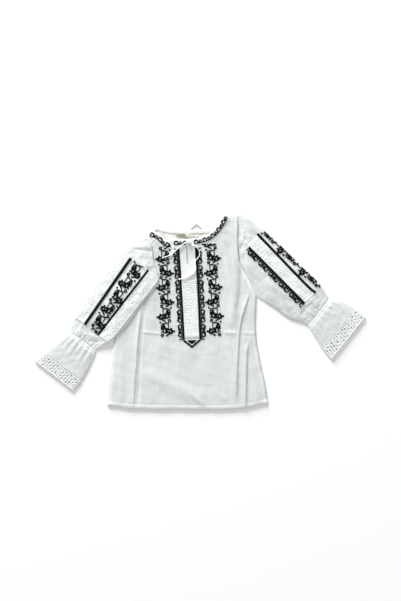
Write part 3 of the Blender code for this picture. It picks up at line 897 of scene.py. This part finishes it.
def build_front():
    plan = body_plan(176, 120, 84, FRONT_NECK)
    hem = np.abs(near(plan, HEM)[0])
    sides = np.minimum(np.abs(near(plan, SIDE_LEFT)[0]), np.abs(near(plan, SIDE_RIGHT)[0]))
    turned = (sides > ALLOWANCE[0]) & (sides < ALLOWANCE[1])
    armhole = np.abs(near(plan, ARMHOLE_RIGHT)[0]) < 7
    doubled = np.where(hem < HEM_WIDTH, 0.9, np.where(turned | armhole, 0.6, 0.0))
    facing = (np.abs(near(plan, FACING_LINE)[0]) < FACING_HALF) & (plan[..., 1] > FACING_FOOT)
    doubled = np.where(facing, 0.8, doubled)
    # Painted shade along the folds, where the layer below also shows through.
    folded = creased(plan, FRONT_SHADES)
    middle = (plan[:-1, :-1] + plan[1:, 1:]) / 2
    away, run = near(middle, [SLIT_TOP, SLIT_FOOT])
    slit = (np.abs(away) < SLIT_HALF * smooth((1 - run) * 3 + 0.3)) & (run < 1)
    height = front_height(plan)
    marks = {"doubled": doubled, "folded": folded}
    return cloth("front_cloth", raised(plan, height), VOILE, keep=~slit, marks=marks)


def build_back():
    edge = along(BACK_NECK, even(80))
    neck = shifted(edge, 3.0 - BACK_BAND_WIDTH)
    plan = body_plan(120, 50, 60, neck)
    inward = edge_distance(plan, SIDE_LEFT, SIDE_RIGHT, HEM)
    level = BACK_TOP - 0.3 * np.exp(-((inward / SEAM_ROUND) ** 2))
    doubled = np.where(np.abs(near(plan, HEM)[0]) < HEM_WIDTH, 0.9, 0.0)
    away, run = near(plan, BACK_NECK)
    gathered = 0.2 * np.sin(run * TAU * 13 + 1.5 * np.sin(run * 23)) * np.exp(-np.abs(away) / 25.0)
    # The folded mark paints shade along the pleats behind the neck.
    return cloth(
        "back_cloth",
        raised(plan, level + gathered),
        INSIDE,
        wall=BACK_WALL,
        marks={"doubled": doubled, "folded": creased(plan, BACK_SHADES)},
    )


def build_sleeve(name, tube, seam, columns=150, rows=140):
    across, down = even(columns + 1), even(rows + 1)
    across = (1 - np.cos(np.pi * across)) / 2
    low, high = along(tube.low, down), along(tube.high, down)
    wrist = along([tube.low[-1], tube.high[-1]], even(columns + 1))
    plan = coons(along(seam, even(columns + 1)), wrist, low, high)
    index = across * columns
    below = np.floor(np.clip(index, 0, columns - 1)).astype(int)
    part = (index - below)[None, :, None]
    plan = plan[:, below] * (1 - part) + plan[:, below + 1] * part
    u = np.broadcast_to(across, plan.shape[:-1])
    ring = tube_ring(plan, tube.under(plan, u), tube.top(plan))
    # Painted shade along the sleeves' folds.
    folded = creased(ring[..., :2], SLEEVE_SHADES)
    return cloth(name, ring, VOILE, ring=True, marks={"folded": folded})


def gathers(u, v, seed):
    """Height of a ruffle's gathers: uneven bells across it that die out along it."""
    height = np.zeros(np.broadcast(u, v).shape)
    for centre, rise, spread, reach in GATHERS:
        lean = centre + 0.03 * np.sin(seed + 9 * centre) * v
        bell = np.exp(-(((u - lean) / (spread * (1 + 0.6 * v))) ** 2))
        height = height + rise * bell * smooth(1 - v / reach)
    return height


def lace_pattern(along_it, across_it, width, step):
    """How thickly a lace is worked, 0 to 1, and where its holes are.

    Eyelets stand on a staggered lattice, each in a ring of raised stitches, with a small one
    between neighbours; both edges are whole."""
    row = width / max(round(width / (step * 0.75)), 1)
    worked = np.full(along_it.shape, 0.35)
    holes = np.zeros(along_it.shape, bool)
    for shift, rise, radius in (
        (0.0, 0.5, 0.17),
        (0.5, 0.0, 0.15),
        (0.5, 0.5, 0.10),
        (0.0, 0.0, 0.10),
    ):
        a, b = along_it / step - shift, across_it / row - rise
        # The fraction of a large sine gives each eyelet a size of its own.
        chance = (np.sin(np.round(a) * 12.99 + np.round(b) * 78.23 + shift * 37) * 43758.5) % 1
        reach = radius * step * (0.6 + 0.7 * chance)
        away = np.hypot((a - np.round(a)) * step, (b - np.round(b)) * row)
        worked = np.maximum(worked, np.exp(-(((away - reach - 0.9) / 0.8) ** 2)))
        holes |= away < reach
    edge = np.minimum(across_it, width - across_it)
    worked = np.where(edge < 2.4, 1.0, np.where(holes, 0.0, worked))
    return worked, holes & (edge > 2.6)


def build_wrist(side, low, high, rest, seed):
    """The casing, ruffle and lace trim: three stretches of one flared, gathered tube."""
    length = length_of(low)
    casing, trim = CASING_LENGTH / length, 1 - TRIM_LENGTH / length
    gap = 0.2 / length
    across = (1 - np.cos(np.pi * even(73))) / 2
    pieces = {}
    for name, start, end, rows, crown in (
        ("elastic_casing", gap, casing, 14, 1.6),
        ("ruffle_cloth", casing + gap, trim, 44, 1.5),
    ):
        share = np.linspace(start, end, rows)
        inner, outer = along(low, share), along(high, share)
        plan = inner[:, None] + across[None, :, None] * (outer - inner)[:, None]
        u = np.broadcast_to(across, plan.shape[:-1])
        v = (share[:, None] - casing) / (trim - casing)
        round_off = (1 - np.abs(2 * u - 1) ** 4) ** 0.5
        fine = np.sin(u * TAU * 21 + 1.5 * np.sin(u * 19 + seed))
        fine = fine * 0.13 * np.exp(-np.abs(v) * (3.2 if name == "ruffle_cloth" else 0.6))
        lift = gathers(u, np.clip(v, 0, 1), seed) * (1 if name == "ruffle_cloth" else 0.45)
        pinch = -0.3 if name == "elastic_casing" else 0.0
        bottom = rest(plan) + TUBE_HALF * (1 - (1 - np.abs(2 * u - 1) ** 12) ** 0.5)
        soft = ripples(plan, seed, 22.0, 0.12)
        top = rest(plan) + TUBE_HALF + (crown + lift + fine + pinch + soft) * round_off
        ring = tube_ring(plan, bottom, top)
        doubled = np.full(ring.shape[:2], 0.9 if name == "elastic_casing" else 0.0)
        pieces[name] = cloth(f"{name}_{side}", ring, VOILE, ring=True, marks={"doubled": doubled})
    hem_width = np.linalg.norm(np.subtract(low[-1], high[-1]))
    columns, rows = round(hem_width / TRIM_GRID), round(TRIM_LENGTH / TRIM_GRID)
    share = np.linspace(trim + gap, 1, rows + 1)
    inner, outer = along(low, share), along(high, share)
    u = even(columns + 1)
    plan = inner[:, None] + u[None, :, None] * (outer - inner)[:, None]
    u = np.broadcast_to(u, plan.shape[:-1])
    round_off = (1 - np.abs(2 * u - 1) ** 10) ** 0.5
    bottom = rest(plan) + TUBE_HALF * (1 - round_off)
    top = rest(plan) + TUBE_HALF + (1.0 + gathers(u, np.full_like(u, 0.9), seed)) * round_off
    beyond = heading(plan.swapaxes(0, 1)).swapaxes(0, 1) * UNDER_REACH
    beyond = beyond * even(rows + 1)[:, None, None] * round_off[..., None]
    under, over = raised(plan + beyond, bottom)[:, :-1], raised(plan, top)[:, :0:-1]
    ring = facing_out(plan, np.concatenate([under, over], axis=1))
    run = np.linspace(0, 2 * hem_width, ring.shape[1], endpoint=False)[None]
    down = even(rows + 1)[:, None] * TRIM_LENGTH
    worked, holes = lace_pattern(run + 0 * down, down + 0 * run, TRIM_LENGTH, TRIM_REPEAT)
    ring[..., 2] += 0.45 * worked * (ring[..., 2] > rest(ring[..., :2]) + TUBE_HALF)
    closed = np.concatenate([holes, holes[:, :1]], axis=1)
    keep = ~(closed[:-1, :-1] & closed[1:, 1:])
    # The worked mark also paints shade round the eyelets.
    trim_piece = cloth(
        f"lace_hem_{side}", ring, TRIM, ring=True, keep=keep, marks={"worked": worked}
    )
    ride(pieces["elastic_casing"], "cotton", f"cuff_casing_{side}")
    ride(pieces["ruffle_cloth"], "cotton", f"ruffle_{side}")
    ride(trim_piece, "lace", f"lace_trim_{side}")


def build_lace_band(name, start, end, width, height, holds, node_name, sewn_to):
    """A straight band of lace laid on the cloth, with eyelets and a corded edge."""
    length = np.linalg.norm(np.subtract(end, start))
    rows, columns = round(length / BAND_GRID), round(abs(width) / BAND_GRID)
    plan = strip_plan(start, end, width, rows + 1, columns + 1, holds)
    width = abs(width)
    down = even(rows + 1)[:, None] * length + np.zeros(columns + 1)
    over = even(columns + 1)[None] * width + np.zeros((rows + 1, 1))
    worked, holes = lace_pattern(down, over, width, BAND_REPEAT)
    lift = 0.35 + 0.18 * worked
    keep = ~(holes[:-1, :-1] & holes[1:, 1:])
    points = raised(plan, height(plan) + lift)
    # The worked mark also paints shade round the eyelets.
    piece = cloth(name, points, LACE, wall=0.3, keep=keep, marks={"worked": worked})
    ride(piece, "lace", node_name)


def band_stretch(name, first, last, nodes):
    """A stretch of neck band: a rounded strip along the neck line, puckered by its cord."""
    line = along(NECK_LINE, np.linspace(first, last, 170))
    w = even(15)[None, :, None]
    side = left_of(heading(line))[:, None]
    plan = line[:, None] + side * (-NECK_BELOW + (NECK_BELOW + NECK_ABOVE) * w)
    plan = plan[:, ::-1]
    w = w[..., 0]
    run = np.linspace(first, last, 170)[:, None] * 240
    pucker = 0.22 * np.sin(run * TAU / 6.5 + 1.2 * np.sin(run / 9)) * np.sin(np.pi * w)
    height = BAND_FOOT + (BAND_TOP - BAND_FOOT) * (1 - np.abs(2 * w - 1) ** 4) ** 0.5
    piece = cloth(name, raised(plan, height + pucker), VOILE, wall=0.6)
    return ride(piece, "cotton", nodes)


def neck_height(place):
    """Top of the neck band, from how far a place lies inside the neck line."""
    away, _ = near(place, NECK_LINE)
    w = np.clip((away + NECK_BELOW) / (NECK_BELOW + NECK_ABOVE), 0.02, 0.98)
    return BAND_FOOT + (BAND_TOP - BAND_FOOT) * (1 - np.abs(2 * w - 1) ** 4) ** 0.5 + 0.15


def build_neck():
    line = along(NECK_LINE, even(400))
    middle = np.interp(SLIT_FOOT[0], line[:, 0], even(400))
    half = (SLIT_HALF + 0.3) / length_of(NECK_LINE)
    left = band_stretch("neck_band_left", 0.0, middle - half, "neck_band_front_left")
    right = band_stretch("neck_band_right", middle + half, 1.0, "neck_band_front_right")
    edge = along(BACK_NECK, even(150))
    w = even(9)[None, :, None]
    plan = edge[:, None] - left_of(heading(edge))[:, None] * BACK_BAND_WIDTH * w
    w = w[..., 0]
    height = BACK_TOP + 0.2 + 0.5 * (1 - np.abs(2 * w - 1) ** 4) ** 0.5
    # Painted shade along the pleats of the band behind.
    marks = {"folded": creased(plan, BACK_SHADES)}
    behind = cloth("neck_band_behind", raised(plan, height), INSIDE, wall=0.5, marks=marks)
    ride(behind, "cotton_inside", "neck_band_back")


def small_tape(name, start, end, first_width, last_width, lift, material):
    """A short woven tape that curls a little along its length, on the back panel."""
    start, end = np.array(start), np.array(end)
    along_it, over = even(40)[:, None, None], np.linspace(-1, 1, 12)[None, :, None]
    half_width = (first_width + (last_width - first_width) * smooth(1.5 * along_it)) / 2
    side = left_of((end - start) / np.linalg.norm(end - start))
    plan = start + along_it * (end - start) - over * half_width * side
    height = BACK_TOP + lift + 0.35 * np.sin(7 * along_it[..., 0]) + 0.25 * over[..., 0]
    piece = cloth(name, raised(plan, height), material, wall=0.3)
    return ride(piece, "label", "neck_label")


def build_small_pieces():
    small_tape("blank_label", *LABEL, LABEL_RIB)
    small_tape("blank_size_tape", *SIZE_TAPE, TAPE_RIB)
    route = [(x, y, 0.75) for x, y in HANGER_LOOP]
    # Its darker colour is painted shade.
    loop, _ = cord_mesh("hanger_tape", route, 0.75, SHADED_LOOP, twist=3.0)
    ride(loop, "cord", "hanger_loop")


# ==== Embroidery ================================================================================
def drawn(a, b, marks):
    """Whether each place along and across a band is worked: strokes add thread or bare it."""
    worked = np.zeros(a.shape, bool)
    for a0, b0, a1, b1, half_width, ink in marks:
        run = np.array([a1 - a0, b1 - b0])
        share = ((a - a0) * run[0] + (b - b0) * run[1]) / max(run @ run, 1e-9)
        share = np.clip(share, 0, 1)
        away = np.hypot(a - a0 - share * run[0], b - b0 - share * run[1])
        worked = np.where(away < half_width, bool(ink), worked)
    return worked


def flowers(start, sign, first, last, stretch=1.0):
    """A running spray: the flower unit is turned over at every step."""

    def pattern(a, b):
        worked = np.zeros(a.shape, bool)
        for k in range(first, last):
            turned = sign * (-1) ** k
            worked |= drawn((a - start) / stretch - k * FLOWER_STEP, b * turned, FLOWER)
        return worked

    return pattern


def scroll(sign, start):
    """A solid bar with a dotted line beside it, and outside them paired curls."""

    def pattern(a, b):
        b = b * sign
        within = (a - start) % SCROLL_STEP
        half = np.minimum(within, SCROLL_STEP - within)
        curls = drawn(half, b - BAR, SCROLL)
        solid = (b > 0) & (b < BAR_SOLID)
        spotted = np.floor(a / STITCH + 2 * np.floor(b / STITCH)) % 4 != 0
        return curls | solid | ((b >= BAR_SOLID) & (b < BAR) & spotted)

    return pattern


def bar(half_width):
    return lambda a, b: np.abs(b) < half_width


def motif(marks):
    return lambda a, b: drawn(a, b, marks)


def arches(a, b):
    """The neck's edging: a solid line, and inside it a large and a small arch in turn."""
    return ((b > NECK_BAR[0]) & (b < NECK_BAR[1])) | drawn(a % ARCH_STEP, b + 0.4, ARCHES)


def stitch_places(path, low, high, pattern):
    """Centres and directions of the stitches of one band: a grid along its path, and across it
    from low to high, counted in stitches."""
    length = length_of(path)
    count = round(length / STITCH)
    line = along(path, even(400))
    ahead = heading(line)
    share = (np.arange(count) + 0.5) / count
    centre = np.stack([np.interp(share, even(400), line[:, i]) for i in (0, 1)], axis=1)
    forward = np.stack([np.interp(share, even(400), ahead[:, i]) for i in (0, 1)], axis=1)
    offsets = (np.arange(low, high) + 0.5) * STITCH
    a, b = np.meshgrid(share * length, offsets, indexing="ij")
    worked = pattern(a, b)
    row, column = np.nonzero(worked)
    place = centre[row] + offsets[column][:, None] * left_of(forward[row])
    return place, forward[row]


def cross_stitches(name, bands, height, holds=None, lift=0.3):
    """One mesh of cross-stitches: on each square a flat ground and two crossing ridges of thread.

    A ridge runs from corner to corner; its middle is wider, and its crest is a short flat line.
    The second ridge passes over the first."""
    found = [stitch_places(*band) for band in bands]
    centre = np.concatenate([places for places, _ in found])
    ahead = np.concatenate([directions for _, directions in found])
    if holds:
        kept = holds(centre)
        centre, ahead = centre[kept], ahead[kept]
    side = left_of(ahead)
    reach = STITCH / 2
    signs = np.array([(-1, -1), (1, -1), (1, 1), (-1, 1)])
    corners = (
        centre[:, None]
        + ahead[:, None] * signs[None, :, :1] * reach
        + side[:, None] * signs[None, :, 1:] * reach
    )
    corner_height = height(corners) + lift
    ground = raised(corners, corner_height)
    middle = corner_height.mean(axis=1)
    shapes = [ground]
    triangles = [np.array([(0, 1, 2), (0, 2, 3)])]
    ridge = np.array([(0, 2, 4), (2, 5, 4), (2, 1, 5), (0, 4, 3), (3, 4, 5), (3, 5, 1)])
    for over, (first, second) in enumerate(((0, 2), (1, 3))):
        run = corners[:, second] - corners[:, first]
        across = left_of(run) * 0.2
        crest = middle + 0.24 + 0.12 * over
        points = np.stack(
            [
                ground[:, first],
                ground[:, second],
                raised(centre - across, middle + 0.05),
                raised(centre + across, middle + 0.05),
                raised(centre - run * 0.22, crest),
                raised(centre + run * 0.22, crest),
            ],
            axis=1,
        )
        triangles.append(ridge + 4 + 6 * over)
        shapes.append(points)
    block = np.concatenate(shapes, axis=1)
    faces = np.concatenate(triangles)
    offset = np.arange(len(block))[:, None, None] * block.shape[1]
    piece = finished(name, block.reshape(-1, 3), (faces[None] + offset).reshape(-1, 3), BLACK)
    return ride(piece, "embroidery")


def dashes(name, paths, height, pitch=2.6):
    """Running machine stitches: a small pointed ridge on each pitch of a path."""
    points = []
    for path in paths:
        count = max(int(length_of(path) / pitch), 2)
        line = along(path, even(2 * count))
        start, end = line[0::2], line[1::2]
        across = left_of(end - start) * 0.16
        middle = (start + end) / 2
        base = height(middle)
        points.append(
            np.stack(
                [
                    raised(start, base),
                    raised(middle - across, base + 0.05),
                    raised(end, base),
                    raised(middle + across, base + 0.05),
                    raised(middle, base + 0.38),
                ],
                axis=1,
            )
        )
    block = np.concatenate(points)
    faces = np.array([(0, 1, 4), (1, 2, 4), (2, 3, 4), (3, 0, 4)])
    offset = np.arange(len(block))[:, None, None] * 5
    faces = (faces[None] + offset).reshape(-1, 3)
    piece = finished(name, block.reshape(-1, 3), faces, CORD)
    return ride(piece, "cotton")


def build_embroidery():
    """Black cross-stitch: sprays, scrolls and bars. Each band is a path and its reach to the left
    and right, with the pattern worked on it."""
    front = [
        ([(-84.5, 156.0), (-82.8, 88.0), (-79.5, -66.0)], -20, 20, flowers(9.0, -1, -1, 6)),
        ([(26.3, 162.0), (37.9, -66.0)], -20, 20, flowers(14.0, 1, -1, 6)),
        ([(-48.6, 150.0), (-40.0, 29.0), (-35.0, -64.0)], -14, 0, scroll(-1, 3.5)),
        ([(-12.2, 152.0), (-5.2, 29.0), (-1.4, -64.0)], 0, 14, scroll(1, 5.5)),
        ([(-7.6, 152.0), (-6.6, 124.0)], -3, 4, bar(4.8)),
        ([(-19.0, -65.0), (-18.4, -84.0)], -18, 18, motif(POINT)),
    ]
    left = [
        ([(-162.6, 127.7), (-270.7, -28.6)], -2, 3, bar(3.4)),
        ([(-121.0, 99.6), (-239.7, -53.1)], -2, 2, bar(2.5)),
        ([(-141.5, 113.1), (-251.0, -45.0)], -15, 15, flowers(1.8, 1, -1, 6, 1.07)),
    ]
    right = [
        ([(134.0, 184.2), (244.4, 69.1), (271.0, 45.5)], -2, 3, bar(3.4)),
        ([(151.5, 197.0), (286.6, 61.9)], -18, 12, flowers(39.2, -1, -1, 5, 1.06)),
        ([(116.4, 154.9), (158.5, 112.6), (247.0, 22.3)], -14, 0, scroll(-1, 3.8)),
    ]
    neck = [
        (along(NECK_LINE, np.linspace(0.0, 0.262, 30)), -2, 8, arches),
        (along(NECK_LINE, np.linspace(0.30, 0.432, 20)), -2, 8, arches),
        (along(NECK_LINE, np.linspace(0.515, 1.0, 50)), -2, 8, arches),
    ]
    cross_stitches("front_embroidery", front, front_height)
    cross_stitches("left_sleeve_embroidery", left, LEFT.top, LEFT.holds, lift=0.7)
    cross_stitches("right_sleeve_embroidery", right, RIGHT.top, RIGHT.holds, lift=0.7)
    cross_stitches("neck_embroidery", neck, neck_height)


def build_stitching():
    """White machine stitching: hems, the slit's facing and the neck band's edge."""
    inner_hem = shifted(along(HEM, even(120)), HEM_WIDTH)[2:-2]
    axis = np.array(SLIT_FOOT)
    facing = [
        axis + (-11.5, 32.0),
        axis + (-10.5, 0.0),
        axis + (-8.0, -36.0),
        axis + (-4.0, -40.5),
        axis + (2.5, -42.5),
        axis + (9.0, -40.5),
        axis + (13.0, -36.0),
        axis + (14.5, 0.0),
        axis + (13.5, 32.0),
    ]
    dashes("front_stitching", [inner_hem, facing], front_height)
    top_stitch = shifted(along(NECK_LINE, even(150)), -NECK_BELOW + 1.2)
    dashes("neck_stitching", [top_stitch], neck_height)


# ==== Stage =====================================================================================
def build_stage():
    """A plain pale table, a broad soft light from beyond the neck and a dim even surround."""
    mesh = bpy.data.meshes.new("table")
    reach = 6.0
    square = [(-reach, -reach, 0), (reach, -reach, 0), (reach, reach, 0), (-reach, reach, 0)]
    mesh.from_pydata(square, [], [(0, 1, 2, 3)])
    table = bpy.data.objects.new("table", mesh)
    mesh.materials.append(surface("matt_white_paper", "#FEFEFE", 0.95)[0])
    bpy.context.scene.collection.objects.link(table)
    for name, place, size, power in (
        ("window", (-3.0, 8.2, 1.5), 2.0, 2240.0),
        ("overhead", (0.6, -1.8, 7.0), 4.0, 74.0),
    ):
        data = bpy.data.lights.new(name, "AREA")
        data.size = size
        data.energy = power
        lamp = bpy.data.objects.new(name, data)
        lamp.location = place
        aim = Vector((0, 0, 0)) - Vector(place)
        lamp.rotation_euler = aim.to_track_quat("-Z", "Y").to_euler()
        bpy.context.scene.collection.objects.link(lamp)
    world = bpy.data.worlds.new("surround")
    world.use_nodes = True
    back = world.node_tree.nodes["Background"]
    back.inputs["Color"].default_value = linear("#FFFFFF")
    back.inputs["Strength"].default_value = 0.46
    bpy.context.scene.world = world
    bpy.context.scene.view_settings.view_transform = "Standard"


def main():
    build_camera()
    build_cords()
    front = ride(build_front(), "cotton", "front_panel")
    back = ride(build_back(), "cotton_inside", "back_panel")
    sleeve_left = ride(build_sleeve("sleeve_cloth_left", LEFT, LEFT_SEAM), "cotton", "sleeve_left")
    seam = np.array(ARMHOLE_RIGHT) + SEAM_SHIFT
    sleeve_right = ride(build_sleeve("sleeve_cloth_right", RIGHT, seam), "cotton", "sleeve_right")
    build_wrist("left", **LEFT_RUFFLE, rest=left_rest, seed=5)
    build_wrist("right", **RIGHT_RUFFLE, rest=on_table, seed=8)
    build_lace_band(
        "front_lace",
        **FRONT_LACE,
        height=front_height,
        holds=everywhere,
        node_name="front_lace_band",
        sewn_to="front_cloth",
    )
    for name, band in SLEEVE_LACE.items():
        side, tube = ("left", LEFT) if "left" in name else ("right", RIGHT)
        build_lace_band(
            name + "_net",
            **band,
            height=tube.top,
            holds=tube.holds,
            node_name=name,
            sewn_to="sleeve_cloth_" + side,
        )
    build_neck()
    build_small_pieces()
    build_embroidery()
    build_stitching()
    build_stage()


main()
bpy.context.view_layer.update()
